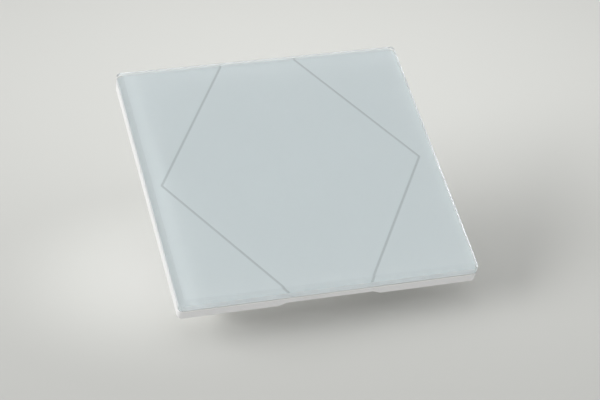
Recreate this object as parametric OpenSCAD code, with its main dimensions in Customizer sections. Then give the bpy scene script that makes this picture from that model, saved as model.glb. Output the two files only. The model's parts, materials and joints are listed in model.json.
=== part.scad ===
// Touch light switch for a wall box: a square glass face with five touch zones on a
// slim carrier that pulls straight off a wall frame. The wall is the plane Y = 0, Z is
// up and the glass looks along -Y. Every piece is drawn lying on its back, with its
// height above the wall as the third axis, and is stood up by upright().

/* [Glass face] */
// Side of the square glass
glass_side = 88; // [84:1:96]
// Thickness of the glass
glass_thickness = 3; // [2:0.5:5]
// Radius of the glass corners
glass_corner = 1.5; // [0.5:0.25:3]
// Width of the bevel around the front
bevel_width = 1.8; // [0.6:0.1:2.6]
// Depth of that bevel at the edge of the glass
bevel_depth = 0.6; // [0.2:0.1:1.2]
// Ground edge along the back of the glass
back_arris = 0.3; // [0.1:0.05:0.6]
// Distance from the wall to the back of the glass
standoff = 12; // [11.5:0.25:15]

/* [Zone lines] */
// Width of the lines between the touch zones
line_width = 0.7; // [0.3:0.1:1.2]
// Gap from the side of the glass to the point of each chevron
line_side_gap = 4.7; // [4:0.1:10]
// Distance between the two line ends along the top or bottom
line_end_spread = 23.2; // [14:0.2:34]

/* [Print and tape] */
// Thickness of the print on the back of the glass
print_thickness = 0.15; // [0.1:0.05:0.3]
// Bare margin between the print and the edge of the glass
print_margin = 0.5; // [0.4:0.1:1.2]
// Thickness of the double-sided tape
tape_thickness = 0.35; // [0.2:0.05:0.8]

/* [Carrier] */
// Outer side of the skirt
carrier_side = 72; // [70:0.5:76]
// Wall of the skirt
carrier_wall = 1.6; // [1.2:0.1:2]
// Outer corner radius of the skirt
carrier_corner = 4; // [2.5:0.5:6]
// Gap between the skirt and the wall
carrier_foot = 0.4; // [0.2:0.1:1]
// Thickness of the rim under the glass
rim_thickness = 1; // [0.8:0.1:1.4]
// Height of the rim's outer edge behind the glass
rim_height = 2.75; // [2:0.25:4]
// Wall of the rim's outer edge
rim_wall = 1.6; // [1:0.1:2.2]
// Step from the edge of the glass in to the rim
rim_step = 0.1; // [0.1:0.1:1]
// Reach of the rim inside the skirt's outer face
rim_inner = 3.6; // [3:0.1:5]
// Width of the pry recess at the lower edge of the rim
recess_width = 30; // [16:1:38]
// Height of the pry recess
recess_height = 1.1; // [0.6:0.1:1.8]
// Thickness of the ribs behind the rim
rib_thickness = 1; // [0.8:0.1:2]
// Distance of each rib from the middle of its side
rib_offset = 24; // [21:1:28]

/* [Board] */
// Thickness of the circuit board
board_thickness = 1.2; // [0.8:0.1:1.6]
// Gap around the board inside the rim
board_gap = 0.3; // [0.2:0.05:0.6]
// Thickness of the copper touch pads
pad_thickness = 0.1; // [0.05:0.05:0.2]
// Gap between neighbouring touch pads
pad_gap = 2.4; // [1.2:0.2:4]
// Margin of the touch pads from the edge of the board
pad_margin = 1; // [0.5:0.25:2]

/* [Rear cover] */
// Thickness of the cover's plate and walls
cover_wall = 1.4; // [1:0.1:1.6]
// Gap between the cover and the skirt
cover_gap = 0.3; // [0.2:0.05:0.6]
// Outer side of the box in the middle of the cover
box_side = 46; // [44:0.5:48]
// Outer corner radius of that box
box_corner = 3; // [2:0.5:6]
// Length of the screw bosses behind the board
boss_length = 3.2; // [2.8:0.1:3.6]
// Diameter of the screw bosses
boss_diameter = 6; // [5:0.25:7]
// Thread diameter of the cover screws
screw_diameter = 2; // [1.6:0.1:2.4]
// Depth of the screw holes in the bosses
screw_depth = 2.5; // [2:0.1:2.6]
// Head diameter of the cover screws
screw_head = 3.6; // [3.2:0.1:4.4]
// Head height of the cover screws
screw_head_height = 1.2; // [0.8:0.1:1.5]

/* [Wall frame] */
// Thickness of the wall frame
frame_thickness = 1.5; // [1:0.1:2]
// Gap between the wall frame and the skirt
frame_gap = 0.4; // [0.3:0.1:1]
// Gap between the wall frame and the cover's box
opening_gap = 1; // [0.6:0.1:1.5]
// Distance between opposite wall box screws
slot_pitch = 60; // [58:0.5:61]
// Width of the screw slots
slot_width = 4.2; // [3.4:0.1:4.6]
// Length of the screw slots
slot_length = 6; // [5:0.25:6.5]

/* [Leaf springs] */
// Thickness of the leaf springs
spring_thickness = 0.4; // [0.25:0.05:0.5]
// Width of the leaf springs
spring_width = 8; // [5:0.5:10]
// Height of the leaf springs above the wall frame
spring_rise = 3.2; // [2.6:0.1:3.4]
// Length of the riveted foot
spring_foot = 5; // [4:0.25:5.5]
// Step from the edge of the frame in to the heel of the spring
spring_heel = 0.6; // [0.4:0.05:0.9]
// Distance of each spring from the middle of its side
spring_offset = 19; // [12:0.5:20]
// Running gap between the springs and the skirt
spring_gap = 0.06; // [0.03:0.01:0.15]
// Diameter of the rivets
rivet_diameter = 2; // [1.5:0.1:2.4]
// Head diameter of the rivets
rivet_head = 3.4; // [2.8:0.1:3.8]
// Head height of the rivets
rivet_head_height = 0.7; // [0.4:0.1:1]

/* [Terminal] */
// Distance from pole to pole
pole_pitch = 3.5; // [3.2:0.1:4]
// Height of the middle of the terminal above the middle of the face
terminal_rise = 8; // [6:0.5:11]
// Wall of the plug beside its outer poles
plug_side = 0.6; // [0.5:0.1:1.2]
// Height of the plug
plug_height = 7; // [6.8:0.1:8]
// Length of the plug
plug_length = 12; // [11:0.25:14]
// Running gap between the plug and its header
plug_gap = 0.1; // [0.05:0.01:0.2]
// How far the plug stands out of the rear cover
plug_proud = 2.3; // [1:0.1:3]
// Gap around the plug in the rear cover
port_gap = 0.8; // [0.4:0.1:1.2]
// Wall of the header around the plug
header_wall = 1; // [0.8:0.1:1.4]
// Thickness of the header's base on the board
header_base = 1.2; // [0.8:0.1:1.6]
// Depth of the header's shroud
header_depth = 6; // [4:0.25:6.5]
// Side of the square pins
pin_side = 1; // [0.7:0.05:1.1]
// Length of the pins past the header's base
pin_reach = 5.4; // [4.5:0.1:5.6]
// Diameter of the wire entries
wire_bore = 2.2; // [1.6:0.1:2.2]
// Thickness of the plug's back, where the wires enter
plug_back_wall = 4; // [3:0.25:4.25]
// Thickness of the plug's front, where the pins enter
plug_front_wall = 1.2; // [0.8:0.1:1.6]
// Wall between neighbouring poles
pole_wall = 1; // [0.8:0.1:1.1]
// Wall above and below the poles
plug_skin = 0.8; // [0.6:0.05:0.9]
// Height of the wire entries below the middle of the plug
wire_drop = 1.3; // [1.2:0.1:1.4]
// Height of the release buttons above the middle of the plug
button_rise = 1.7; // [1.6:0.1:1.8]
// Width of the release buttons
button_width = 2; // [1.4:0.1:2.1]
// Height of the release buttons
button_height = 1.7; // [1.4:0.1:1.8]
// How far the release buttons stand out of the plug
button_proud = 0.9; // [0.8:0.05:1.4]
// Running gap around the release buttons
button_gap = 0.08; // [0.05:0.01:0.12]
// Thickness of the contact strips and clamp springs
contact_thickness = 0.3; // [0.2:0.05:0.35]

/* [Parts on the board] */
// Side of the touch controller
touch_chip_side = 5; // [4:0.5:6]
// Side of the main controller's body
main_chip_side = 7; // [6:0.5:8]
// Thickness of the chips
chip_height = 1.2; // [0.8:0.1:1.6]
// Side of the power choke
choke_side = 6; // [5:0.5:7]
// Height of the power choke
choke_height = 2.8; // [2:0.1:3]
// Diameter of the capacitors
capacitor_diameter = 6.3; // [5:0.1:7]
// Height of the capacitors
capacitor_height = 5.8; // [4:0.1:6.5]
// Diameter of the sounder
sounder_diameter = 12; // [9:0.5:13]
// Height of the sounder
sounder_height = 2.6; // [2:0.1:2.9]

/* [Hidden] */
$fn = 48;

// Heights above the wall
glass_back = standoff;
glass_front = glass_back + glass_thickness;
print_back = glass_back - print_thickness;
tape_back = print_back - tape_thickness;
board_front = tape_back - pad_thickness;
board_back = board_front - board_thickness;
rim_back = tape_back - rim_thickness;
rim_edge = tape_back - rim_height;
boss_back = board_back - boss_length;
cover_back = boss_back - cover_wall;
header_floor = board_back - header_base;
plug_end_gap = 0.3;
plug_front = header_floor - plug_end_gap;
plug_back = plug_front - plug_length;
chamber_back = plug_back + plug_back_wall;
chamber_front = plug_front - plug_front_wall;
box_back = plug_back + plug_proud;

// Sides and reaches worked out from the glass and the skirt
rim_side = glass_side - 2 * rim_step;
print_side = glass_side - 2 * print_margin;
rim_opening = carrier_side - 2 * rim_inner;
board_side = rim_opening - 2 * board_gap;
skirt_inner = carrier_side - 2 * carrier_wall;
skirt_inner_corner = carrier_corner - carrier_wall;
cover_side = skirt_inner - 2 * cover_gap;
frame_side = skirt_inner - 2 * frame_gap;
frame_opening = box_side + 2 * opening_gap;
boss_place = skirt_inner / 2 - boss_diameter / 2;
overrun = 1;

// Ends of the zone lines, at the edge of the print
line_point = glass_side / 2 - line_side_gap;
line_top = print_side / 2;
line_end = line_end_spread / 2;

// The four poles of the terminal
poles = 4;
plug_width = poles * pole_pitch + 2 * plug_side;
chamber_width = pole_pitch - pole_wall;
chamber_height = plug_height - 2 * plug_skin;
contact_gap = 0.06;
contact_side_gap = 0.2;
contact_width = chamber_width - 2 * contact_side_gap;
contact_back = chamber_back + contact_thickness;
contact_front = chamber_front - contact_thickness;
fork_length = 2.6;
clamp_bend = chamber_back + 1.2;
clamp_lean = 1.5;

// Middles of the parts on the board, seen from the front
touch_chip_place = [1, -3];
main_chip_place = [-11, -3];
crystal_place = [-11, -11];
driver_place = [-14.5, 8];
diode_place = [-14.5, 15];
regulator_place = [13, -11];
choke_place = [13, -3];
capacitor_places = [[14.5, 6.5], [14.5, 14.5]];
sounder_place = [1, -14];
resistor_row = [0, 18];

// Sizes of the small parts on the board
crystal_size = [3.2, 2.5];
crystal_corner = 0.4;
driver_size = [3.9, 4.9];
diode_size = [4.4, 3.6];
diode_height = 2.2;
regulator_size = [2.6, 3];
resistor_size = [0.8, 1.6];
resistor_height = 0.5;
resistor_count = 7;
resistor_step = 2;

function pole_x(pole) = (pole - (poles - 1) / 2) * pole_pitch;

// Stands a piece that is drawn on its back up against the wall
module upright() {
    rotate([90, 0, 0]) children();
}

// Fills an outline between two heights above the wall
module slab(low, high) {
    translate([0, 0, low]) linear_extrude(high - low) children();
}

module rounded(width, height, corner) {
    square([width - 2 * corner, height], center = true);
    square([width, height - 2 * corner], center = true);
    at_corners(width / 2 - corner, height / 2 - corner) circle(corner);
}

module at_corners(x, y) {
    for (side = [-1, 1], rise = [-1, 1]) translate([side * x, rise * y]) children();
}

module slot(length, width) {
    square([length - width, width], center = true);
    for (end = [-1, 1]) translate([end * (length - width) / 2, 0]) circle(d = width);
}

// A straight bar of sheet or print from one point to another
module bar(from, to, thickness) {
    run = to - from;
    translate(from) rotate(atan2(run.y, run.x)) translate([0, -thickness / 2]) square([norm(run), thickness]);
}

// Sheet metal bent along a path, seen from its edge
module bent_strip(path, thickness) {
    for (i = [0 : len(path) - 2]) bar(path[i], path[i + 1], thickness);
    for (point = path) translate(point) circle(d = thickness);
}

// The two chevrons that part the touch zones, drawn past the edge of the print
module zone_marks(width) {
    for (side = [-1, 1]) {
        for (rise = [-1, 1]) {
            point = [side * line_point, 0];
            end = [side * line_end, rise * line_top];
            bar(point, end + (end - point) * overrun / line_top, width);
        }
        translate([side * line_point, 0]) circle(d = width);
    }
}

module print_outline() {
    rounded(print_side, print_side, glass_corner);
}

// Cuts a sloping face along all four edges of the glass
module edge_cut(width, depth) {
    slope = atan2(depth, width);
    for (turn = [0 : 90 : 270]) {
        rotate(turn) translate([glass_side / 2 - width, 0, 0]) rotate([0, slope, 0])
            translate([0, -glass_side, 0]) cube([3 * width, 2 * glass_side, 3 * width]);
    }
}

module glass_panel() {
    color("lightcyan") upright() difference() {
        slab(glass_back, glass_front) rounded(glass_side, glass_side, glass_corner);
        translate([0, 0, glass_front]) edge_cut(bevel_width, bevel_depth);
        translate([0, 0, glass_back]) mirror([0, 0, 1]) edge_cut(back_arris, back_arris);
    }
}

module print_layer() {
    color("aliceblue") upright() slab(print_back, glass_back) difference() {
        print_outline();
        zone_marks(line_width);
    }
}

module zone_lines() {
    color("lightslategray") upright() slab(print_back, glass_back) intersection() {
        print_outline();
        zone_marks(line_width);
    }
}

module rim_outline() {
    rounded(rim_side, rim_side, glass_corner);
}

module adhesive_ring() {
    color("gainsboro") upright() slab(tape_back, print_back) difference() {
        rim_outline();
        square(rim_opening, center = true);
    }
}

module adhesive_sheet() {
    color("whitesmoke") upright() slab(tape_back, print_back) square(board_side, center = true);
}

// Ribs between the skirt and the outer edge of the rim
module rim_ribs() {
    root = carrier_side / 2 - carrier_wall / 2;
    reach = rim_side / 2 - rim_wall / 2 - root;
    for (turn = [0 : 90 : 270], side = [-1, 1]) {
        rotate(turn) translate([root, side * rib_offset - rib_thickness / 2, rim_edge])
            cube([reach, rib_thickness, rim_height - rim_thickness / 2]);
    }
}

// Sloping-ended notch for a flat tool, in the lower edge of the rim
module pry_recess() {
    end_slope = 2 * recess_height;
    half = recess_width / 2;
    translate([0, overrun + rim_wall - rim_side / 2, 0]) rotate([90, 0, 0])
        linear_extrude(rim_wall + 2 * overrun) polygon([
            [-half - end_slope, rim_edge - recess_height],
            [half + end_slope, rim_edge - recess_height],
            [half - end_slope, rim_edge + recess_height],
            [end_slope - half, rim_edge + recess_height]
        ]);
}

module boss_outline() {
    circle(d = boss_diameter);
    square(boss_diameter / 2 + carrier_wall / 2);
}

module carrier_frame() {
    color("white") upright() difference() {
        union() {
            slab(rim_back, tape_back) difference() {
                rim_outline();
                square(rim_opening, center = true);
            }
            slab(rim_edge, rim_back) difference() {
                rim_outline();
                square(rim_side - 2 * rim_wall, center = true);
            }
            slab(carrier_foot, rim_back) difference() {
                rounded(carrier_side, carrier_side, carrier_corner);
                rounded(skirt_inner, skirt_inner, skirt_inner_corner);
            }
            rim_ribs();
            slab(boss_back, board_back) intersection() {
                rounded(carrier_side, carrier_side, carrier_corner);
                for (turn = [0 : 90 : 270]) rotate(turn) translate([boss_place, boss_place]) boss_outline();
            }
        }
        pry_recess();
        at_corners(boss_place, boss_place) slab(boss_back - overrun, boss_back + screw_depth)
            circle(d = screw_diameter);
    }
}

module touch_board() {
    color("darkgreen") upright() slab(board_back, board_front) square(board_side, center = true);
}

module touch_electrodes() {
    color("goldenrod") upright() slab(board_front, tape_back) difference() {
        square(board_side - 2 * pad_margin, center = true);
        zone_marks(pad_gap);
    }
}

// Draws a part that stands on the back of the board
module on_board(place, height) {
    translate([place.x, place.y, board_back - height]) linear_extrude(height) children();
}

// A chip with a row of leads on two or four sides
module leaded_chip(place, width, height, thickness, leads, turns) {
    lead_pitch = height / leads;
    lead_reach = 1;
    lead_width = lead_pitch / 2;
    lead_height = thickness / 2;
    on_board(place, thickness) square([width, height], center = true);
    for (turn = turns, i = [0 : leads - 1]) {
        across = (i - (leads - 1) / 2) * lead_pitch - lead_width / 2;
        translate([place.x, place.y, 0]) rotate(turn)
            translate([width / 2, across, board_back - lead_height])
            cube([lead_reach, lead_width, lead_height]);
    }
}

module touch_controller() {
    color("black") upright() on_board(touch_chip_place, chip_height) square(touch_chip_side, center = true);
}

module main_controller() {
    color("black") upright()
        leaded_chip(main_chip_place, main_chip_side, main_chip_side, chip_height, 8, [0 : 90 : 270]);
}

module clock_crystal() {
    color("silver") upright() on_board(crystal_place, chip_height)
        rounded(crystal_size.x, crystal_size.y, crystal_corner);
}

module bus_driver() {
    color("black") upright()
        leaded_chip(driver_place, driver_size.x, driver_size.y, chip_height, 4, [0, 180]);
}

module surge_diode() {
    color("dimgray") upright() on_board(diode_place, diode_height) square(diode_size, center = true);
}

module voltage_regulator() {
    color("black") upright()
        leaded_chip(regulator_place, regulator_size.x, regulator_size.y, chip_height, 3, [0, 180]);
}

module power_choke() {
    base_height = choke_height / 3;
    base_margin = 0.3;
    color("darkslategray") upright() {
        on_board(choke_place, base_height) square(choke_side, center = true);
        on_board(choke_place, choke_height) circle(d = choke_side - 2 * base_margin);
    }
}

module board_capacitors() {
    base_height = 1;
    base_margin = 0.15;
    color("silver") upright() for (place = capacitor_places) {
        on_board(place, base_height) square(capacitor_diameter + 2 * base_margin, center = true);
        on_board(place, capacitor_height) circle(d = capacitor_diameter);
    }
}

module chip_resistors() {
    color("black") upright() for (i = [0 : resistor_count - 1]) {
        on_board(resistor_row + [(i - (resistor_count - 1) / 2) * resistor_step, 0], resistor_height)
            square(resistor_size, center = true);
    }
}

module click_sounder() {
    port_diameter = 2.5;
    color("black") upright() difference() {
        on_board(sounder_place, sounder_height) circle(d = sounder_diameter);
        translate([sounder_place.x, sounder_place.y, board_back - sounder_height - overrun])
            cylinder(d = port_diameter, h = overrun + sounder_height / 2);
    }
}

// Moves a piece of the terminal to the middle of the terminal
module at_terminal() {
    upright() translate([0, terminal_rise, 0]) children();
}

module at_poles() {
    for (pole = [0 : poles - 1]) translate([pole_x(pole), 0, 0]) children();
}

module terminal_header() {
    inner_width = plug_width + 2 * plug_gap;
    inner_height = plug_height + 2 * plug_gap;
    color("darkgreen") at_terminal() difference() {
        slab(header_floor - header_depth, board_back)
            square([inner_width + 2 * header_wall, inner_height + 2 * header_wall], center = true);
        slab(header_floor - header_depth - overrun, header_floor)
            square([inner_width, inner_height], center = true);
        at_poles() slab(header_floor - overrun, board_back + overrun) square(pin_side, center = true);
    }
}

module header_pins() {
    color("gold") at_terminal() at_poles() slab(header_floor - pin_reach, board_back)
        square(pin_side, center = true);
}

module rear_cover() {
    inner_side = box_side - 2 * cover_wall;
    inner_corner = box_corner - cover_wall / 2;
    screw_clearance = 0.2;
    color("gainsboro") upright() difference() {
        union() {
            slab(cover_back, boss_back) rounded(cover_side, cover_side, skirt_inner_corner);
            slab(box_back, boss_back) rounded(box_side, box_side, box_corner);
        }
        slab(box_back + cover_wall, boss_back + overrun) rounded(inner_side, inner_side, inner_corner);
        translate([0, terminal_rise, 0]) slab(box_back - overrun, box_back + cover_wall + overrun)
            square([plug_width + 2 * port_gap, plug_height + 2 * port_gap], center = true);
        at_corners(boss_place, boss_place) slab(cover_back - overrun, boss_back + overrun)
            circle(d = screw_diameter + screw_clearance);
    }
}

module cover_screws() {
    tip_gap = 0.3;
    thread_gap = 0.02;
    drive_width = 0.6;
    drive_length = screw_head - 2 * drive_width;
    color("silver") upright() at_corners(boss_place, boss_place) difference() {
        union() {
            slab(cover_back - screw_head_height, cover_back) circle(d = screw_head);
            slab(cover_back, boss_back + screw_depth - tip_gap) circle(d = screw_diameter - 2 * thread_gap);
        }
        for (turn = [0, 90]) rotate(turn)
            slab(cover_back - screw_head_height - overrun, cover_back - screw_head_height / 2)
            square([drive_length, drive_width], center = true);
    }
}

module plug_body() {
    window = pin_side + 2 * plug_gap;
    plug_corner = 0.5;
    color("lightgray") at_terminal() difference() {
        slab(plug_back, plug_front) rounded(plug_width, plug_height, plug_corner);
        at_poles() {
            slab(chamber_back, chamber_front) square([chamber_width, chamber_height], center = true);
            slab(chamber_front - overrun, plug_front + overrun) square(window, center = true);
            translate([0, -wire_drop, 0]) slab(plug_back - overrun, chamber_back + overrun)
                circle(d = wire_bore);
            translate([0, button_rise, 0]) slab(plug_back - overrun, chamber_back + overrun)
                square([button_width + 2 * button_gap, button_height + 2 * button_gap], center = true);
        }
    }
}

// One contact: a strip along the chamber's floor and a fork around the pin
module plug_contacts() {
    tine = pin_side / 2 + contact_gap;
    floor_height = -chamber_height / 2;
    edge = -contact_width / 2;
    color("peru") at_terminal() at_poles() {
        translate([edge, floor_height, contact_back])
            cube([contact_width, contact_thickness, contact_front - contact_back]);
        translate([edge, floor_height, contact_front - fork_length])
            cube([contact_thickness, tine + contact_thickness - floor_height, fork_length]);
        for (low = [-tine - contact_thickness, tine])
            translate([edge, low, contact_front - fork_length])
            cube([contact_width, contact_thickness, fork_length]);
    }
}

module clamp_springs() {
    ceiling = chamber_height / 2 - contact_thickness / 2;
    path = [
        [ceiling, contact_front],
        [ceiling, clamp_bend],
        [-wire_drop, clamp_bend + clamp_lean]
    ];
    color("silver") at_terminal() at_poles() rotate([90, 0, 90])
        linear_extrude(contact_width, center = true) bent_strip(path, contact_thickness);
}

module release_button(pole) {
    color("orange") at_terminal() translate([pole_x(pole), button_rise, 0])
        slab(plug_back - button_proud, chamber_back)
        square([button_width, button_height], center = true);
}

module release_button_1() {
    release_button(0);
}

module release_button_2() {
    release_button(1);
}

module release_button_3() {
    release_button(2);
}

module release_button_4() {
    release_button(3);
}

// Draws a piece at each of the four leaf springs
module at_springs() {
    for (turn = [0, 180], rise = [-1, 1]) {
        rotate(turn) translate([0, rise * spring_offset, 0]) children();
    }
}

heel = frame_side / 2 - spring_heel;
rivet_place = heel - spring_foot / 2;
rivet_clearance = 0.04;

module mounting_frame() {
    color("lightsteelblue") upright() slab(0, frame_thickness) difference() {
        rounded(frame_side, frame_side, skirt_inner_corner);
        rounded(frame_opening, frame_opening, box_corner);
        for (turn = [0 : 90 : 270]) rotate(turn) translate([slot_pitch / 2, 0]) slot(slot_length, slot_width);
        at_springs() translate([rivet_place, 0]) circle(d = rivet_diameter + rivet_clearance);
    }
}

module retaining_springs() {
    half = spring_thickness / 2;
    bow = skirt_inner / 2 - spring_gap - half;
    path = [
        [heel - spring_foot, frame_thickness + half],
        [heel, frame_thickness + half],
        [bow, frame_thickness + spring_rise / 2],
        [heel, frame_thickness + spring_rise - half]
    ];
    color("silver") upright() at_springs() difference() {
        rotate([90, 0, 0]) linear_extrude(spring_width, center = true) bent_strip(path, spring_thickness);
        translate([rivet_place, 0, 0])
            cylinder(d = rivet_diameter + rivet_clearance, h = frame_thickness + overrun);
    }
}

module spring_rivets() {
    foot_top = frame_thickness + spring_thickness;
    color("gray") upright() at_springs() translate([rivet_place, 0, 0]) {
        cylinder(d = rivet_diameter, h = foot_top);
        translate([0, 0, foot_top]) cylinder(d = rivet_head, h = rivet_head_height);
    }
}

glass_panel();
print_layer();
zone_lines();
adhesive_ring();
adhesive_sheet();
carrier_frame();
touch_board();
touch_electrodes();
touch_controller();
main_controller();
clock_crystal();
bus_driver();
surge_diode();
voltage_regulator();
power_choke();
board_capacitors();
chip_resistors();
click_sounder();
terminal_header();
header_pins();
rear_cover();
cover_screws();
plug_body();
plug_contacts();
clamp_springs();
release_button_1();
release_button_2();
release_button_3();
release_button_4();
mounting_frame();
retaining_springs();
spring_rivets();
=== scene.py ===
"""Finishes a glass touch light switch around its solids and sets its stage."""

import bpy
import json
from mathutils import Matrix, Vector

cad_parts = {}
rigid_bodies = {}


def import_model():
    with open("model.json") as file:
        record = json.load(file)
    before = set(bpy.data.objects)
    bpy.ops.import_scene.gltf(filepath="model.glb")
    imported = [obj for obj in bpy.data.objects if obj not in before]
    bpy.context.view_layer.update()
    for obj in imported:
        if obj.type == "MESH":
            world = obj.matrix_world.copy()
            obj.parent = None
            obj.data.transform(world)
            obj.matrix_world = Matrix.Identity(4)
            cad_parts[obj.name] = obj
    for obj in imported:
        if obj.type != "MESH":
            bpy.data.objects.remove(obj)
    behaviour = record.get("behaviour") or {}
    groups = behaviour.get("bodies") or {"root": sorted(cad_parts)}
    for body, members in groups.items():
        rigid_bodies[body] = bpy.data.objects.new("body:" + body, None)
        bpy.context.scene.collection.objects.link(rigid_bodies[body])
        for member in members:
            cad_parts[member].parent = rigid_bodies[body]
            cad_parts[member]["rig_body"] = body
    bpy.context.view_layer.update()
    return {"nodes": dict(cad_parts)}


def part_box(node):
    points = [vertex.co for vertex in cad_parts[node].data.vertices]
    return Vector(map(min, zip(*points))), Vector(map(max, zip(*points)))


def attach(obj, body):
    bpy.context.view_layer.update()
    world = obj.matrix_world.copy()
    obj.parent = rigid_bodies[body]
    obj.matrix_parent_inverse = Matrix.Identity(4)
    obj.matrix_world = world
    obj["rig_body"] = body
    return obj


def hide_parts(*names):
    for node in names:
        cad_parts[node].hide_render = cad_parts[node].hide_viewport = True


bl_info = {
    "name": "Touch Light Switch",
    "version": (1, 0, 0),
    "blender": (4, 5, 0),
    "location": "View3D > Sidebar > Switch",
    "description": "Finishes a glass touch light switch around its solids and sets its stage",
    "category": "Object",
}

import json
import math

import bmesh
import bpy
from bpy.props import FloatProperty, FloatVectorProperty, PointerProperty
from mathutils import Matrix, Quaternion, Vector

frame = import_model()
MM = 0.001
SIDEWAYS = Vector((1.0, 0.0, 0.0))

# Gap within which two points, or a point and a plane, count as touching
SLACK = 0.001 * MM
# Faces that meet within the first angle are one, and edges past the second are rounded
FLAT_ANGLE = math.radians(0.2)
SHARP_ANGLE = math.radians(40.0)
EDGE_SEGMENTS = 2
CAMERA_NEAR = 0.01

# Noise between these levels is spread over the whole range of a finish
NOISE_LOW, NOISE_HIGH = 0.3, 0.7

# Roughness of each finish, from its glossiest to its dullest spots
MOULDED_GLOSS = (0.38, 0.52)
CARRIER_GLOSS = (0.52, 0.64)
BUTTON_GLOSS = (0.28, 0.4)
TAPE_GLOSS = (0.6, 0.75)
CHIP_GLOSS = (0.5, 0.65)
FERRITE_GLOSS = (0.6, 0.8)
MASK_GLOSS = (0.25, 0.4)
SCREW_GLOSS = (0.22, 0.38)
RIVET_GLOSS = (0.25, 0.4)
SHEET_GLOSS = (0.26, 0.44)
SPRING_GLOSS = (0.2, 0.34)
PIN_GLOSS = (0.15, 0.3)
CONTACT_GLOSS = (0.2, 0.35)
PAD_GLOSS = (0.3, 0.45)
LEAD_GLOSS = (0.18, 0.32)

# Size and depth of the grain of each moulded finish
MOULDED_GRAIN = (0.25 * MM, 0.004 * MM)
TAPE_GRAIN = (0.12 * MM, 0.008 * MM)
CHIP_GRAIN = (0.1 * MM, 0.006 * MM)
FERRITE_GRAIN = (0.2 * MM, 0.01 * MM)

# Colour and gloss of a moulded finish wander over these lengths, the colour by this share
MOULDED_CLOUD = 9.0 * MM
MOULDED_SPREAD = 0.025
GLOSS_CLOUD = 4.0 * MM
MOULDED_IOR = 1.49

# Marks of a metal: their size, their depth and the scale that draws them out along an axis,
# then the length and the share by which its colour wanders
SHEET_MARKS = 0.3 * MM
LEAD_MARKS = 2.0 * MM
MARK_DEPTH = 0.002 * MM
EVEN = (1.0, 1.0, 1.0)
ROLLED_SHEET = (1.0, 1.0, 0.06)
ROLLED_SPRING = (1.0, 1.0, 0.05)
DRAWN_DEEP = (1.0, 0.1, 1.0)
METAL_CLOUD = 5.0 * MM
METAL_SPREAD = 0.10

# Tracks under the solder mask: the patches in which they turn and are laid, and their outlines
TURN_PATCH = 11.0 * MM
LAID_PATCH = 7.0 * MM
PATCH_EDGE = (0.49, 0.51)
STRIPE_EDGE = (0.80, 0.92)
# Length of one band of the wave texture at a scale of one
WAVE_LENGTH = math.pi / 10.0
# How much lighter and how high a track shows
TRACK_GAIN = 1.8
TRACK_HEIGHT = 0.02 * MM

# Glass: faint smears on the face, and ground sides from this far inside the outline
GLASS_IOR = 1.52
SMEAR_CLOUD = 14.0 * MM
SMEAR_ROUGHNESS = 0.03
EDGE_BLUR = 0.03 * MM
SIDE_DEPTH = 0.05 * MM
SIDE_ROUGHNESS = 0.24
SIDE_FROST = 0.9

# Print on the glass: its colour wanders over this length, by these shares
PRINT_CLOUD = 22.0 * MM
PRINT_SPREAD = 0.006
LINE_SPREAD = 0.02
PRINT_ROUGHNESS = 0.9

# Floor: slow wander of its tone, share of its colour left far from the painted pool of light (painted
# falloff), gloss, and slants of its fade
FLOOR_CLOUD = 0.4
FLOOR_WANDER = 0.06
PAINTED_FALLOFF_SHARE = 0.70
FLOOR_ROUGHNESS = 0.9
FLOOR_SPECULAR = 0.1
FLOOR_GONE, FLOOR_WHOLE = 0.95, 0.75


def colour(name, description, default):
    """A colour that a user may change."""
    return FloatVectorProperty(
        name=name, description=description, default=default, size=3, subtype="COLOR", min=0.0, max=1.0
    )


def share(name, description, default):
    """A share of one that a user may change."""
    return FloatProperty(
        name=name, description=description, default=default, subtype="FACTOR", min=0.0, max=1.0
    )


def length(name, description, default):
    """A length that a user may change."""
    return FloatProperty(
        name=name, description=description, default=default, unit="LENGTH", precision=5
    )


def angle(name, description, degrees):
    """An angle that a user may change."""
    return FloatProperty(
        name=name, description=description, default=math.radians(degrees), unit="ROTATION"
    )


def offset(name, description, default):
    """A way from one place to another that a user may change."""
    return FloatVectorProperty(
        name=name, description=description, default=default, size=3, subtype="TRANSLATION", unit="LENGTH"
    )


def power(name, description, default):
    """A lamp's power that a user may change."""
    return FloatProperty(name=name, description=description, default=default, unit="POWER")


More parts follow.
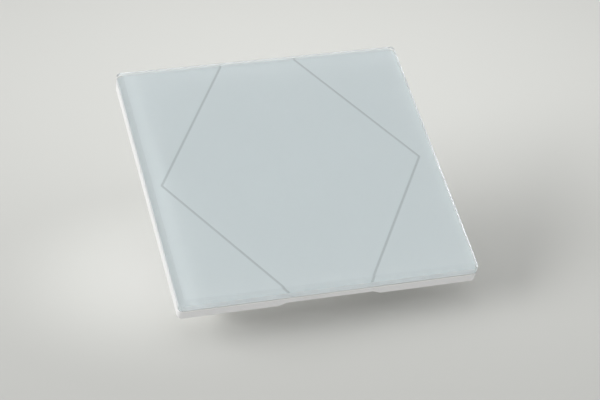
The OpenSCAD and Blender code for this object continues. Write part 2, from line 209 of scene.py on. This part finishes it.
class SwitchFinish(bpy.types.PropertyGroup):
    """Colours and edge sizes of the switch."""

    glass_tint: colour(
        "Glass tint", "Colour that the glass gives to what is seen through it", (0.985, 0.995, 0.996)
    )
    print_colour: colour("Print", "Pale print on the back of the glass", (0.815, 0.877, 0.889))
    line_colour: colour("Zone lines", "Grey print between the touch zones", (0.618, 0.671, 0.681))
    carrier_colour: colour("Carrier", "White moulded carrier and rim", (0.66, 0.66, 0.652))
    cover_colour: colour("Rear cover", "Light grey moulded cover", (0.62, 0.63, 0.63))
    plug_colour: colour("Plug", "Moulded terminal plug", (0.52, 0.54, 0.53))
    release_colour: colour("Release buttons", "Moulded wire release buttons", (0.80, 0.26, 0.03))
    header_colour: colour("Header", "Moulded terminal header", (0.03, 0.03, 0.033))
    zinc_colour: colour("Zinc", "Zinc and tin plating of frame, screws and leads", (0.62, 0.63, 0.64))
    spring_colour: colour("Spring steel", "Rolled spring steel", (0.50, 0.49, 0.47))
    tape_colour: colour("Tape", "Double-sided tape", (0.74, 0.74, 0.72))
    mask_colour: colour("Board", "Solder mask of the board", (0.02, 0.14, 0.06))
    copper_colour: colour("Copper", "Copper of the touch pads and contacts", (0.72, 0.38, 0.22))
    chip_colour: colour("Chips", "Moulded chip bodies", (0.02, 0.02, 0.022))
    moulded_edge: length("Moulded edge", "Rounding of moulded plastic edges", 0.25 * MM)
    pressed_edge: length("Pressed edge", "Rounding of pressed and small edges", 0.15 * MM)
    bevel_width: length("Bevel width", "Width of the ground bevel round the glass", 1.8 * MM)
    bevel_roughness: share("Bevel roughness", "Roughness of the ground bevel", 0.18)
    print_bond: length("Print bond", "How far the print lies in the back of the glass", 0.03 * MM)
    track_pitch: length("Track pitch", "Pitch of the copper tracks under the solder mask", 1.3 * MM)
    lead_reach: length("Lead reach", "How far in from a chip's side its leads are tinned", 0.9 * MM)
    cap_reach: length("End cap reach", "Length of the tinned ends of a chip resistor", 0.35 * MM)
    base_height: length("Capacitor base", "Height of the black base under a capacitor", 1.05 * MM)


class SwitchStage(bpy.types.PropertyGroup):
    """Camera, light and floor."""

    camera_azimuth: angle("Azimuth", "Camera's turn round the upright axis", -18.93)
    camera_elevation: angle("Elevation", "Camera's height above the level", -36.28)
    camera_roll: angle("Roll", "Camera's turn about its own view", -18.19)
    camera_distance: length("Distance", "From the camera to the face", 0.5772)
    camera_lens: FloatProperty(
        name="Lens", description="Focal length in millimetres", default=120.0, unit="CAMERA"
    )
    aim_across: length("Aim across", "Where the view meets the face, from its middle", -1.24 * MM)
    aim_up: length("Aim up", "Where the view meets the face, from its middle", -12.3 * MM)
    view_slope: angle("View slope", "How steeply the view looks down on the floor", 27.0)
    floor_side: length("Floor side", "Side of the square floor", 6.0)
    floor_colour: colour("Floor", "Pale floor under the switch", (0.692, 0.696, 0.668))
    # Painted pool of light: the floor colour is lightest at this spot and darker away from it
    painted_pool_right: length("Pool right", "Brightest spot of the floor, right of the origin", 0.02)
    painted_pool_away: length("Pool away", "Brightest spot of the floor, away from the view", 0.13)
    painted_pool_reach: length("Pool reach", "Distance in which the floor reaches its far colour", 0.32)
    # Painted bounce light: the floor colour is lighter round this spot by the lit lower left edge, in
    # place of the light that the edge throws
    painted_glow_colour: colour("Glow", "Floor that the lit edge throws light on", (0.86, 0.86, 0.835))
    painted_glow_right: length("Glow right", "Middle of the glow, right of the origin", -0.033)
    painted_glow_away: length("Glow away", "Middle of the glow, away from the view", -0.020)
    painted_glow_reach: length("Glow reach", "Distance in which the glow is lost", 0.062)
    world_colour: colour("Surroundings", "Soft light from all around", (0.71, 0.71, 0.71))
    near_loss: share("Near loss", "Share of the soft light that the near side lacks", 0.88)
    key_power: power("Key power", "Power of the large soft lamp", 48.0)
    key_width: length("Key width", "Width of the large soft lamp", 2.75)
    key_rise: length("Key rise", "Height of the large soft lamp, edge to edge", 0.92)
    key_distance: length("Key distance", "From the large soft lamp to the face", 2.2)
    key_turn: angle("Key turn", "Turn of the lamp from straight left to behind the switch", -4.0)
    key_height: angle("Key height", "Height of the lamp above the floor", 26.0)
    sky_power: power("Sky power", "Power of the lamp that is seen in the glass alone", 14.5)
    sky_width: length("Sky width", "Width of the lamp that is seen in the glass", 1.5)
    sky_rise: length("Sky rise", "Height of the lamp that is seen in the glass", 3.15)
    sky_offset: offset(
        "Sky offset", "From the face to the lamp that is seen in the glass", (0.75, -0.935, 0.915)
    )
    sky_colour: colour("Sky", "Colour of the lamp that is seen in the glass", (0.86, 0.96, 1.0))
    glint_power: power("Glint power", "Power of the lamp that is seen in the right bevel alone", 1.0)
    glint_side: length("Glint side", "Side of the lamp that is seen in the right bevel", 0.7)
    glint_offset: offset(
        "Glint offset", "From the face to the lamp that is seen in the right bevel", (1.0, -0.68, 0.89)
    )
    bounce_power: power("Bounce power", "Power of the light from below on the lower edge", 1.65)
    bounce_side: length("Bounce side", "Side of the lamp below the lower edge", 0.5)
    bounce_distance: length("Bounce distance", "From the face to the lamp below it", 0.6)


def finish():
    """The colours and edge sizes in use."""
    return bpy.context.scene.switch_finish


def stage():
    """The camera, light and floor in use."""
    return bpy.context.scene.switch_stage


# Materials


def start_material(name):
    """An empty material with a principled shader, and its coordinates."""
    material = bpy.data.materials.new(name)
    material.use_nodes = True
    tree = material.node_tree
    tree.nodes.clear()
    output = tree.nodes.new("ShaderNodeOutputMaterial")
    shader = tree.nodes.new("ShaderNodeBsdfPrincipled")
    tree.links.new(shader.outputs["BSDF"], output.inputs["Surface"])
    coordinates = tree.nodes.new("ShaderNodeTexCoord").outputs["Object"]
    return material, tree, shader, coordinates


def stretched(tree, coordinates, scale):
    """Coordinates drawn out along an axis, for brushed and rolled metal."""
    mapping = tree.nodes.new("ShaderNodeMapping")
    mapping.inputs["Scale"].default_value = scale
    tree.links.new(coordinates, mapping.inputs["Vector"])
    return mapping.outputs["Vector"]


def noise(tree, coordinates, grain, detail=2.0):
    """Noise whose grains are about this size in metres."""
    node = tree.nodes.new("ShaderNodeTexNoise")
    node.inputs["Scale"].default_value = 1.0 / grain
    node.inputs["Detail"].default_value = detail
    tree.links.new(coordinates, node.inputs["Vector"])
    return node.outputs["Fac"]


def ranged(tree, value, start, end, low=0.0, high=1.0, easing="LINEAR"):
    """A value taken from one range to another."""
    node = tree.nodes.new("ShaderNodeMapRange")
    node.interpolation_type = easing
    node.inputs["From Min"].default_value = start
    node.inputs["From Max"].default_value = end
    node.inputs["To Min"].default_value = low
    node.inputs["To Max"].default_value = high
    tree.links.new(value, node.inputs["Value"])
    return node.outputs["Result"]


def sum_of(tree, operation, first, second=None):
    """A step of arithmetic on one or two values."""
    node = tree.nodes.new("ShaderNodeMath")
    node.operation = operation
    tree.links.new(first, node.inputs[0])
    if second is not None:
        tree.links.new(second, node.inputs[1])
    return node.outputs[0]


def shade(tree, shader, factor, base, spread):
    """Lets the base colour wander round its value by a share of it."""
    ramp = tree.nodes.new("ShaderNodeValToRGB")
    dark, light = ramp.color_ramp.elements
    dark.position = NOISE_LOW
    light.position = NOISE_HIGH
    dark.color = (*[c * (1.0 - spread) for c in base], 1.0)
    light.color = (*[min(1.0, c * (1.0 + spread)) for c in base], 1.0)
    tree.links.new(factor, ramp.inputs["Fac"])
    tree.links.new(ramp.outputs["Color"], shader.inputs["Base Color"])


def polish(tree, shader, factor, gloss):
    """Lets the roughness wander between two values."""
    roughness = ranged(tree, factor, NOISE_LOW, NOISE_HIGH, *gloss)
    tree.links.new(roughness, shader.inputs["Roughness"])


def relief(tree, shader, height, depth):
    """Raises the surface by a height of this depth in metres."""
    bump = tree.nodes.new("ShaderNodeBump")
    bump.inputs["Distance"].default_value = depth
    tree.links.new(height, bump.inputs["Height"])
    tree.links.new(bump.outputs["Normal"], shader.inputs["Normal"])


def moulded(name, base, gloss=MOULDED_GLOSS, grain=MOULDED_GRAIN):
    """Moulded plastic with a fine spark-eroded grain."""
    material, tree, shader, coordinates = start_material(name)
    grain_size, grain_depth = grain
    shade(tree, shader, noise(tree, coordinates, MOULDED_CLOUD, detail=3.0), base, MOULDED_SPREAD)
    polish(tree, shader, noise(tree, coordinates, GLOSS_CLOUD), gloss)
    relief(tree, shader, noise(tree, coordinates, grain_size), grain_depth)
    shader.inputs["IOR"].default_value = MOULDED_IOR
    return material


def metal(name, base, draw, gloss, marks=SHEET_MARKS):
    """Plated or rolled sheet metal, with its marks drawn out along an axis."""
    material, tree, shader, coordinates = start_material(name)
    drawn = stretched(tree, coordinates, draw)
    shade(tree, shader, noise(tree, coordinates, METAL_CLOUD, detail=4.0), base, METAL_SPREAD)
    polish(tree, shader, noise(tree, drawn, 2.0 * marks, detail=4.0), gloss)
    relief(tree, shader, noise(tree, drawn, marks, detail=3.0), MARK_DEPTH)
    shader.inputs["Metallic"].default_value = 1.0
    return material


def bands(tree, coordinates, direction, pitch):
    """Narrow stripes at a pitch, across a direction."""
    wave = tree.nodes.new("ShaderNodeTexWave")
    wave.bands_direction = direction
    wave.inputs["Scale"].default_value = WAVE_LENGTH / pitch
    tree.links.new(coordinates, wave.inputs["Vector"])
    return ranged(tree, wave.outputs["Fac"], *STRIPE_EDGE)


def patches(tree, coordinates, size):
    """Patches of about this size in metres, which cover half of the surface."""
    return ranged(tree, noise(tree, coordinates, size, detail=0.0), *PATCH_EDGE)


def solder_mask(name, base, pitch):
    """Lacquered board with patches of copper tracks that show lighter through the lacquer."""
    material, tree, shader, coordinates = start_material(name)
    turned = tree.nodes.new("ShaderNodeMix")
    tree.links.new(patches(tree, coordinates, TURN_PATCH), turned.inputs["Factor"])
    tree.links.new(bands(tree, coordinates, "X", pitch), turned.inputs["A"])
    tree.links.new(bands(tree, coordinates, "Z", pitch), turned.inputs["B"])
    laid = patches(tree, coordinates, LAID_PATCH)
    track = sum_of(tree, "MULTIPLY", turned.outputs["Result"], laid)
    ramp = tree.nodes.new("ShaderNodeValToRGB")
    ramp.color_ramp.elements[0].color = (*base, 1.0)
    ramp.color_ramp.elements[1].color = (*[c * TRACK_GAIN for c in base], 1.0)
    tree.links.new(track, ramp.inputs["Fac"])
    tree.links.new(ramp.outputs["Color"], shader.inputs["Base Color"])
    polish(tree, shader, noise(tree, coordinates, GLOSS_CLOUD), MASK_GLOSS)
    relief(tree, shader, track, TRACK_HEIGHT)
    return material


def beyond(tree, value, edge, gain):
    """A gain that starts where a value passes an edge."""
    return ranged(tree, value, edge - EDGE_BLUR, edge + EDGE_BLUR, 0.0, gain)


def clear_glass(name, tint, half_side, bevel, roughness):
    """Polished glass with faint smears, a finely ground bevel and coarser, frosted sides."""
    material, tree, shader, coordinates = start_material(name)
    shader.inputs["Base Color"].default_value = (*tint, 1.0)
    shader.inputs["Transmission Weight"].default_value = 1.0
    shader.inputs["IOR"].default_value = GLASS_IOR
    parts = tree.nodes.new("ShaderNodeSeparateXYZ")
    tree.links.new(coordinates, parts.inputs["Vector"])
    across = sum_of(tree, "ABSOLUTE", parts.outputs["X"])
    upright = sum_of(tree, "ABSOLUTE", parts.outputs["Z"])
    off_middle = sum_of(tree, "MAXIMUM", across, upright)
    fine = beyond(tree, off_middle, half_side - bevel, roughness)
    coarse = beyond(tree, off_middle, half_side - SIDE_DEPTH, SIDE_ROUGHNESS)
    clouds = noise(tree, coordinates, SMEAR_CLOUD, detail=4.0)
    smear = ranged(tree, clouds, 0.0, 1.0, 0.0, SMEAR_ROUGHNESS)
    rough = sum_of(tree, "ADD", sum_of(tree, "ADD", fine, coarse), smear)
    tree.links.new(rough, shader.inputs["Roughness"])
    frost = beyond(tree, off_middle, half_side - SIDE_DEPTH, SIDE_FROST)
    tree.links.new(frost, shader.inputs["Sheen Weight"])
    return material


def ceramic_print(name, base, spread):
    """Fired print, seen through the glass that it lies on."""
    material, tree, shader, coordinates = start_material(name)
    shade(tree, shader, noise(tree, coordinates, PRINT_CLOUD, detail=3.0), base, spread)
    shader.inputs["Roughness"].default_value = PRINT_ROUGHNESS
    shader.inputs["Specular IOR Level"].default_value = 0.0
    return material


def dress(node, material):
    """Gives a solid its material."""
    slots = frame["nodes"][node].data.materials
    slots.clear()
    slots.append(material)


# Pieces


def shared_mesh(node):
    """A copy of a solid's mesh with its loose triangles joined and its flat faces whole."""
    shape = bmesh.new()
    shape.from_mesh(frame["nodes"][node].data)
    bmesh.ops.remove_doubles(shape, verts=shape.verts, dist=SLACK)
    bmesh.ops.dissolve_limit(
        shape, angle_limit=FLAT_ANGLE, verts=shape.verts, edges=shape.edges, delimit=set()
    )
    return shape


def place_piece(name, shape, node, material):
    """Makes an object of a shape, riding where its solid rides and standing for it."""
    mesh = bpy.data.meshes.new(name)
    shape.to_mesh(mesh)
    shape.free()
    mesh.materials.append(material)
    piece = bpy.data.objects.new(name, mesh)
    bpy.context.scene.collection.objects.link(piece)
    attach(piece, frame["nodes"][node]["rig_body"])
    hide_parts(node)
    return piece


def soften(node, material, width):
    """Stands a copy with rounded edges in for a solid."""
    piece = place_piece(node + "_finished", shared_mesh(node), node, material)
    for face in piece.data.polygons:
        face.use_smooth = True
    edge = piece.modifiers.new("Rounded edges", "BEVEL")
    edge.width = width
    edge.segments = EDGE_SEGMENTS
    edge.limit_method = "ANGLE"
    edge.angle_limit = SHARP_ANGLE
    edge.harden_normals = True


def two_tone(node, body, trim, from_low, from_high):
    """Stands a copy in for a solid, with what lies near some sides of its box in a second material."""
    shape = shared_mesh(node)
    low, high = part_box(node)
    inner_low = low + Vector(from_low)
    inner_high = high - Vector(from_high)
    for axis in range(3):
        normal = Vector()
        normal[axis] = 1.0
        for plane in (inner_low, inner_high):
            everything = shape.verts[:] + shape.edges[:] + shape.faces[:]
            bmesh.ops.bisect_plane(shape, geom=everything, plane_co=plane, plane_no=normal)
    for face in shape.faces:
        middle = face.calc_center_median()
        outside = [
            middle[axis] < inner_low[axis] - SLACK or middle[axis] > inner_high[axis] + SLACK
            for axis in range(3)
        ]
        face.material_index = int(any(outside))
    piece = place_piece(node + "_finished", shape, node, body)
    piece.data.materials.append(trim)


class SWITCH_OT_glass_face(bpy.types.Operator):
    """Finish the glass, its print and the zone lines"""

    bl_idname = "switch.glass_face"
    bl_label = "Glass face"

    def execute(self, context):
        look = finish()
        half_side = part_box("glass_panel")[1].x
        glass = clear_glass(
            "clear_glass", look.glass_tint, half_side, look.bevel_width, look.bevel_roughness
        )
        dress("glass_panel", glass)
        prints = {
            "print_layer": ceramic_print("pale_print", look.print_colour, PRINT_SPREAD),
            "zone_lines": ceramic_print("line_print", look.line_colour, LINE_SPREAD),
        }
        for node, material in prints.items():
            shape = shared_mesh(node)
            low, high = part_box(node)
            middle = (low.y + high.y) / 2.0
            front = [vertex for vertex in shape.verts if vertex.co.y < middle]
            bmesh.ops.translate(shape, verts=front, vec=(0.0, -look.print_bond, 0.0))
            place_piece(node + "_finished", shape, node, material)
        return {"FINISHED"}


class SWITCH_OT_carrier(bpy.types.Operator):
    """Finish the carrier and the tapes"""

    bl_idname = "switch.carrier"
    bl_label = "Carrier"

    def execute(self, context):
        look = finish()
        white = moulded("white_plastic", look.carrier_colour, CARRIER_GLOSS)
        soften("carrier_frame", white, look.moulded_edge)
        tape = moulded("tape", look.tape_colour, TAPE_GLOSS, TAPE_GRAIN)
        for node in ("adhesive_ring", "adhesive_sheet"):
            dress(node, tape)
        return {"FINISHED"}


class SWITCH_OT_rear_cover(bpy.types.Operator):
    """Finish the rear cover and its screws"""

    bl_idname = "switch.rear_cover"
    bl_label = "Rear cover"

    def execute(self, context):
        look = finish()
        soften("rear_cover", moulded("cover_plastic", look.cover_colour), look.moulded_edge)
        zinc = metal("screw_zinc", look.zinc_colour, EVEN, SCREW_GLOSS)
        soften("cover_screws", zinc, look.pressed_edge)
        return {"FINISHED"}


class SWITCH_OT_wall_frame(bpy.types.Operator):
    """Finish the wall frame, its leaf springs and their rivets"""

    bl_idname = "switch.wall_frame"
    bl_label = "Wall frame"

    def execute(self, context):
        look = finish()
        sheet = metal("zinc_sheet", look.zinc_colour, ROLLED_SHEET, SHEET_GLOSS)
        soften("mounting_frame", sheet, look.pressed_edge)
        spring = metal("spring_sheet", look.spring_colour, ROLLED_SPRING, SPRING_GLOSS)
        dress("retaining_springs", spring)
        rivet = metal("rivet_zinc", look.zinc_colour, EVEN, RIVET_GLOSS)
        soften("spring_rivets", rivet, look.pressed_edge)
        return {"FINISHED"}


class SWITCH_OT_terminal(bpy.types.Operator):
    """Finish the terminal header, the plug and its release buttons"""

    bl_idname = "switch.terminal"
    bl_label = "Terminal"

    def execute(self, context):
        look = finish()
        soften("plug_body", moulded("plug_plastic", look.plug_colour), look.pressed_edge)
        release = moulded("release_plastic", look.release_colour, BUTTON_GLOSS)
        for node in sorted(n for n in frame["nodes"] if n.startswith("release_button")):
            soften(node, release, look.pressed_edge)
        dress("terminal_header", moulded("header_plastic", look.header_colour))
        dress("header_pins", metal("pin_tin", look.zinc_colour, DRAWN_DEEP, PIN_GLOSS))
        copper = metal("contact_copper", look.copper_colour, DRAWN_DEEP, CONTACT_GLOSS)
        dress("plug_contacts", copper)
        dress("clamp_springs", metal("clamp_steel", look.spring_colour, DRAWN_DEEP, SPRING_GLOSS))
        return {"FINISHED"}


class SWITCH_OT_board(bpy.types.Operator):
    """Finish the board, its touch pads and the parts on it"""

    bl_idname = "switch.board"
    bl_label = "Board"

    def execute(self, context):
        look = finish()
        dress("touch_board", solder_mask("solder_mask", look.mask_colour, look.track_pitch))
        dress("touch_electrodes", metal("pad_copper", look.copper_colour, EVEN, PAD_GLOSS))
        chip = moulded("chip_body", look.chip_colour, CHIP_GLOSS, CHIP_GRAIN)
        tin = metal("lead_tin", look.zinc_colour, EVEN, LEAD_GLOSS, LEAD_MARKS)
        four_sides = (look.lead_reach, 0.0, look.lead_reach)
        two_sides = (look.lead_reach, 0.0, 0.0)
        two_ends = (0.0, 0.0, look.cap_reach)
        two_tone("main_controller", chip, tin, four_sides, four_sides)
        two_tone("bus_driver", chip, tin, two_sides, two_sides)
        two_tone("voltage_regulator", chip, tin, two_sides, two_sides)
        two_tone("chip_resistors", chip, tin, two_ends, two_ends)
        two_tone("board_capacitors", tin, chip, (0.0, look.base_height, 0.0), (0.0, 0.0, 0.0))
        for node in ("touch_controller", "surge_diode", "click_sounder"):
            dress(node, chip)
        dress("power_choke", moulded("ferrite", look.chip_colour, FERRITE_GLOSS, FERRITE_GRAIN))
        dress("clock_crystal", tin)
        return {"FINISHED"}


# Stage


class SWITCH_OT_stage(bpy.types.Operator):
    """Set the camera, the floor and the light"""

    bl_idname = "switch.stage"
    bl_label = "Stage"

    def execute(self, context):
        set_camera(context.scene)
        set_floor(context.scene)
        set_light(context.scene)
        context.scene.view_settings.view_transform = "Standard"
        return {"FINISHED"}


def face_middle():
    """Middle of the front of the glass."""
    low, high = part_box("glass_panel")
    return Vector(((low.x + high.x) / 2.0, low.y, (low.z + high.z) / 2.0))


def set_camera(scene):
    """Looks at the face from below and to the left."""
    place = stage()
    back = Vector((
        math.sin(place.camera_azimuth) * math.cos(place.camera_elevation),
        -math.cos(place.camera_azimuth) * math.cos(place.camera_elevation),
        math.sin(place.camera_elevation),
    ))
    aim = face_middle() + Vector((place.aim_across, 0.0, place.aim_up))
    level = (-back).to_track_quat("-Z", "Y")
    camera = bpy.data.objects.new("camera", bpy.data.cameras.new("camera"))
    camera.data.lens = place.camera_lens
    camera.data.clip_start = CAMERA_NEAR
    camera.location = aim + back * place.camera_distance
    camera.rotation_mode = "QUATERNION"
    camera.rotation_quaternion = level @ Quaternion((0.0, 0.0, 1.0), place.camera_roll)
    scene.collection.objects.link(camera)
    scene.camera = camera


def floor_axes():
    """Right, away and up along the floor, for a camera that is held level."""
    view = bpy.context.scene.camera.rotation_quaternion
    right = view @ SIDEWAYS
    slope = stage().view_slope
    up = view @ Vector((0.0, math.cos(slope), math.sin(slope)))
    return right, up.cross(right), up


def set_floor(scene):
    """A pale floor that is seen only from the side that the switch lies on."""
    place = stage()
    right, away, up = floor_axes()
    corners = [vertex.co for solid in frame["nodes"].values() for vertex in solid.data.vertices]
    lowest = min(up.dot(corner) for corner in corners)
    shape = bmesh.new()
    bmesh.ops.create_grid(shape, x_segments=1, y_segments=1, size=place.floor_side / 2.0)
    turn = Matrix((right, away, up)).transposed().to_4x4()
    bmesh.ops.transform(shape, matrix=Matrix.Translation(up * lowest) @ turn, verts=shape.verts)
    mesh = bpy.data.meshes.new("floor")
    shape.to_mesh(mesh)
    shape.free()
    # Middles of the pool of light and of the glow that are painted into the floor's colour
    pool = up * lowest + right * place.painted_pool_right + away * place.painted_pool_away
    glow = up * lowest + right * place.painted_glow_right + away * place.painted_glow_away
    mesh.materials.append(floor_material(place, pool, glow))
    floor = bpy.data.objects.new("floor", mesh)
    scene.collection.objects.link(floor)


def off_middle_share(tree, coordinates, middle, reach):
    """Distance from a middle as a share of a reach, eased and at most one."""
    away = tree.nodes.new("ShaderNodeVectorMath")
    away.operation = "DISTANCE"
    away.inputs[1].default_value = middle
    tree.links.new(coordinates, away.inputs[0])
    return ranged(tree, away.outputs["Value"], 0.0, reach, easing="SMOOTHSTEP")


def seen_share(tree):
    """One for the rays of the view, of reflections and of glass, and nought for all others."""
    path = tree.nodes.new("ShaderNodeLightPath")
    seen = sum_of(tree, "MAXIMUM", path.outputs["Is Camera Ray"], path.outputs["Is Glossy Ray"])
    return sum_of(tree, "MAXIMUM", seen, path.outputs["Is Transmission Ray"])


def floor_material(place, pool, glow):
    """Pale card that only the view, reflections and glass meet, and only from in front.

    Its colour holds painted light: it is darker away from a painted pool of light, and lighter round a
    painted glow that stands in for the light the lit edge throws. It is gone where it lies edge-on."""
    material, tree, shader, coordinates = start_material("floor_card")
    # Painted light: the floor colour fades outwards from the painted pool and from the painted glow
    painted_pool_fade = off_middle_share(tree, coordinates, pool, place.painted_pool_reach)
    painted_glow_fade = off_middle_share(tree, coordinates, glow, place.painted_glow_reach)
    clouds = noise(tree, coordinates, FLOOR_CLOUD)
    wander = ranged(tree, clouds, 0.0, 1.0, 0.0, FLOOR_WANDER)
    level = sum_of(tree, "ADD", sum_of(tree, "ADD", painted_pool_fade, painted_glow_fade), wander)
    ramp = tree.nodes.new("ShaderNodeValToRGB")
    ramp.color_ramp.elements[0].color = (*place.painted_glow_colour, 1.0)
    ramp.color_ramp.elements[1].color = (*[c * PAINTED_FALLOFF_SHARE for c in place.floor_colour], 1.0)
    ramp.color_ramp.elements.new(0.5).color = (*place.floor_colour, 1.0)
    tree.links.new(ranged(tree, level, 0.0, 2.0), ramp.inputs["Fac"])
    tree.links.new(ramp.outputs["Color"], shader.inputs["Base Color"])
    shader.inputs["Roughness"].default_value = FLOOR_ROUGHNESS
    shader.inputs["Specular IOR Level"].default_value = FLOOR_SPECULAR
    back = tree.nodes.new("ShaderNodeNewGeometry").outputs["Backfacing"]
    front = sum_of(tree, "SUBTRACT", seen_share(tree), back)
    front.node.use_clamp = True
    slant = tree.nodes.new("ShaderNodeLayerWeight").outputs["Facing"]
    whole = ranged(tree, slant, FLOOR_GONE, FLOOR_WHOLE, easing="SMOOTHSTEP")
    mix = tree.nodes.new("ShaderNodeMixShader")
    tree.links.new(sum_of(tree, "MULTIPLY", front, whole), mix.inputs["Fac"])
    tree.links.new(tree.nodes.new("ShaderNodeBsdfTransparent").outputs["BSDF"], mix.inputs[1])
    tree.links.new(shader.outputs["BSDF"], mix.inputs[2])
    tree.links.new(mix.outputs["Shader"], tree.nodes["Material Output"].inputs["Surface"])
    return material


def area_lamp(scene, name, watts, size, way, across=SIDEWAYS):
    """A soft lamp of a width and a height, some way from the face and turned towards it."""
    lamp = bpy.data.objects.new(name, bpy.data.lights.new(name, "AREA"))
    lamp.data.shape = "RECTANGLE"
    lamp.data.size, lamp.data.size_y = size
    lamp.data.energy = watts
    lamp.location = face_middle() + way
    beam = way.normalized()
    upright = beam.cross(across).normalized()
    turn = Matrix((upright.cross(beam), upright, beam)).transposed()
    lamp.rotation_mode = "QUATERNION"
    lamp.rotation_quaternion = turn.to_quaternion()
    lamp.visible_camera = False
    scene.collection.objects.link(lamp)
    return lamp


def surroundings(place, away):
    """Soft light from all around, even where it is seen and weaker from the near side elsewhere."""
    world = bpy.data.worlds.new("surroundings")
    world.use_nodes = True
    tree = world.node_tree
    background = tree.nodes["Background"]
    background.inputs["Color"].default_value = (*place.world_colour, 1.0)
    lean = tree.nodes.new("ShaderNodeVectorMath")
    lean.operation = "DOT_PRODUCT"
    lean.inputs[1].default_value = away
    tree.links.new(tree.nodes.new("ShaderNodeTexCoord").outputs["Object"], lean.inputs[0])
    weakest = 1.0 - place.near_loss
    strongest = 1.0 + place.near_loss
    level = ranged(tree, lean.outputs["Value"], -1.0, 1.0, weakest, strongest)
    strength = tree.nodes.new("ShaderNodeMix")
    tree.links.new(seen_share(tree), strength.inputs["Factor"])
    tree.links.new(level, strength.inputs["A"])
    strength.inputs["B"].default_value = 1.0
    tree.links.new(strength.outputs["Result"], background.inputs["Strength"])
    return world


def set_light(scene):
    """Soft light from all around, a lamp up and to the left, and what the glass and lower edge see."""
    place = stage()
    right, away, up = floor_axes()
    scene.world = surroundings(place, away)
    aside = -right * math.cos(place.key_turn) + away * math.sin(place.key_turn)
    towards = aside * math.cos(place.key_height) + up * math.sin(place.key_height)
    key_size = (place.key_width, place.key_rise)
    key_way = towards * place.key_distance
    area_lamp(scene, "key", place.key_power, key_size, key_way, up.cross(towards))
    bounce_size = (place.bounce_side, place.bounce_side)
    below = Vector((0.0, 0.0, -place.bounce_distance))
    area_lamp(scene, "bounce", place.bounce_power, bounce_size, below)
    sky_size = (place.sky_width, place.sky_rise)
    sky = area_lamp(scene, "sky", place.sky_power, sky_size, Vector(place.sky_offset))
    sky.data.color = place.sky_colour
    glint_size = (place.glint_side, place.glint_side)
    glint = area_lamp(scene, "glint", place.glint_power, glint_size, Vector(place.glint_offset))
    for reflected in (sky, glint):
        reflected.visible_diffuse = False
        reflected.visible_transmission = False


class SWITCH_PT_sidebar(bpy.types.Panel):
    """Lists the steps of the finish"""

    bl_idname = "SWITCH_PT_sidebar"
    bl_label = "Touch light switch"
    bl_space_type = "VIEW_3D"
    bl_region_type = "UI"
    bl_category = "Switch"

    def draw(self, context):
        for step in STEPS:
            self.layout.operator(step.bl_idname)
        for group in (context.scene.switch_finish, context.scene.switch_stage):
            for name in group.__annotations__:
                self.layout.prop(group, name)


GROUPS = (SwitchFinish, SwitchStage)
STEPS = (
    SWITCH_OT_stage,
    SWITCH_OT_glass_face,
    SWITCH_OT_carrier,
    SWITCH_OT_rear_cover,
    SWITCH_OT_wall_frame,
    SWITCH_OT_terminal,
    SWITCH_OT_board,
)
CLASSES = (*GROUPS, *STEPS, SWITCH_PT_sidebar)


def register():
    """Adds the classes and the settings to Blender."""
    for item in CLASSES:
        bpy.utils.register_class(item)
    bpy.types.Scene.switch_finish = PointerProperty(type=SwitchFinish)
    bpy.types.Scene.switch_stage = PointerProperty(type=SwitchStage)


def unregister():
    """Takes the settings and the classes out again."""
    del bpy.types.Scene.switch_stage
    del bpy.types.Scene.switch_finish
    for item in reversed(CLASSES):
        bpy.utils.unregister_class(item)


def main():
    """Runs every step."""
    register()
    for step in STEPS:
        group, name = step.bl_idname.split(".")
        getattr(getattr(bpy.ops, group), name)()


if __name__ == "__main__":
    main()
